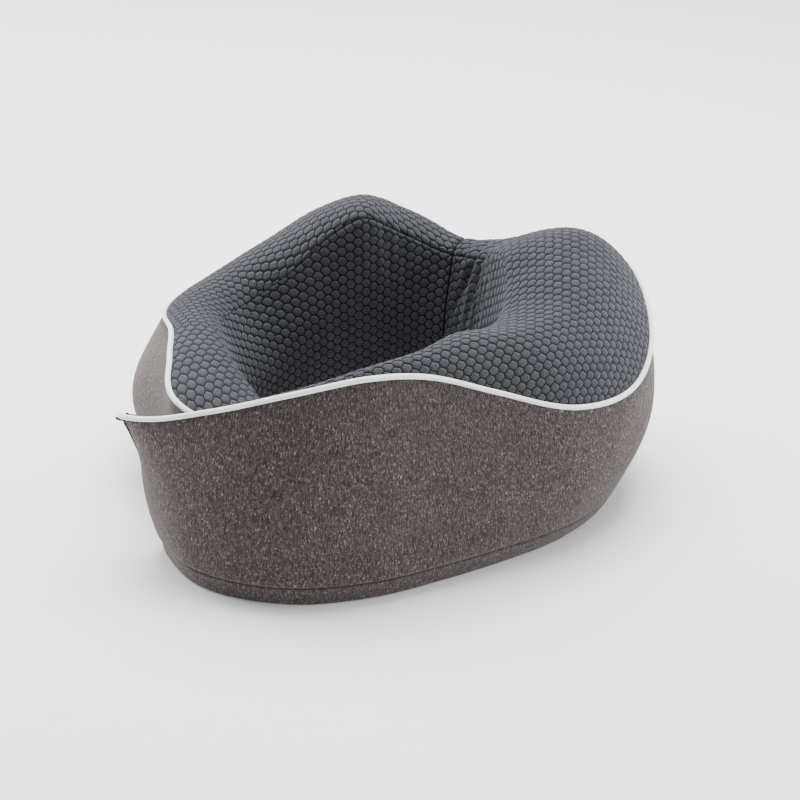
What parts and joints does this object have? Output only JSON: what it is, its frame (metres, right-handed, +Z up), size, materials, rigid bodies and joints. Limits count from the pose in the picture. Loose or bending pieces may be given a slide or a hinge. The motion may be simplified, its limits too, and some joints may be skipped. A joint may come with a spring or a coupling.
{
  "type": "u shaped neck pillow",
  "caption": "U shaped travel neck pillow with raised side humps, arms that wrap and overlap at the front, a zipped fabric cover and a foam core.",
  "frame": {"origin": "middle of the footprint of the bounding box, on the surface that the pillow stands on", "axes": "+Z up, +Y towards the nape at the back, -Y towards the overlapping arm ends at the front, +X to the pillow's right arm"},
  "size_m": [0.2842, 0.2808, 0.1357],
  "materials": {
    "memory_foam": "open cell foam, matt",
    "liner_knit": "thin plain knit, matt",
    "heather_knit": "brushed melange knit, taupe heather, matt",
    "honeycomb_knit": "quilted honeycomb jacquard knit, slate grey, matt",
    "white_piping": "smooth woven bias tape, white",
    "piping_filler": "twisted cotton cord, off white",
    "zip_tape": "woven polyester tape, dark taupe",
    "zip_coil": "nylon coil, satin",
    "zip_metal": "gunmetal plating, satin"
  },
  "bodies": {
    "left_half": {"foam_core_left": "memory_foam", "inner_liner_left": "liner_knit", "base_panel_left": "heather_knit", "outer_band_left": "heather_knit", "top_panel_left": "honeycomb_knit", "collar_panel_left": "honeycomb_knit", "piping_sleeve_left": "white_piping", "piping_cord_left": "piping_filler"},
    "right_half": {"foam_core_right": "memory_foam", "inner_liner_right": "liner_knit", "base_panel_right": "heather_knit", "outer_band_right": "heather_knit", "top_panel_right": "honeycomb_knit", "collar_panel_right": "honeycomb_knit", "piping_sleeve_right": "white_piping", "piping_cord_right": "piping_filler", "zip_tape_band": "zip_tape", "zip_tape_base": "zip_tape", "zip_coil_band": "zip_coil", "zip_coil_base": "zip_coil", "zip_top_stop": "zip_metal", "zip_bottom_stop": "zip_metal"},
    "zip_slider": {"zip_slider": "zip_metal"},
    "zip_pull": {"zip_pull": "zip_metal"}
  },
  "joints": [
    {"name": "nape_flex", "type": "hinge", "parent": "left_half", "child": "right_half", "pos_m": [-0.00073, 0.1433, 0], "axis": [0, 0, 1], "range_deg": [0, 40], "stiffness_Nm_per_rad": 0.6},
    {"name": "zip_travel", "type": "hinge", "parent": "right_half", "child": "zip_slider", "pos_m": [0.02947, 0.0338, 0.012], "axis": [0, 0, -1], "range_deg": [0, 63]},
    {"name": "pull_flip", "type": "hinge", "parent": "zip_slider", "child": "zip_pull", "pos_m": [0.04748, 0.13489, 0.01045], "axis": [0.0877, 0.4923, 0.866], "range_deg": [0, 165]}
  ]
}
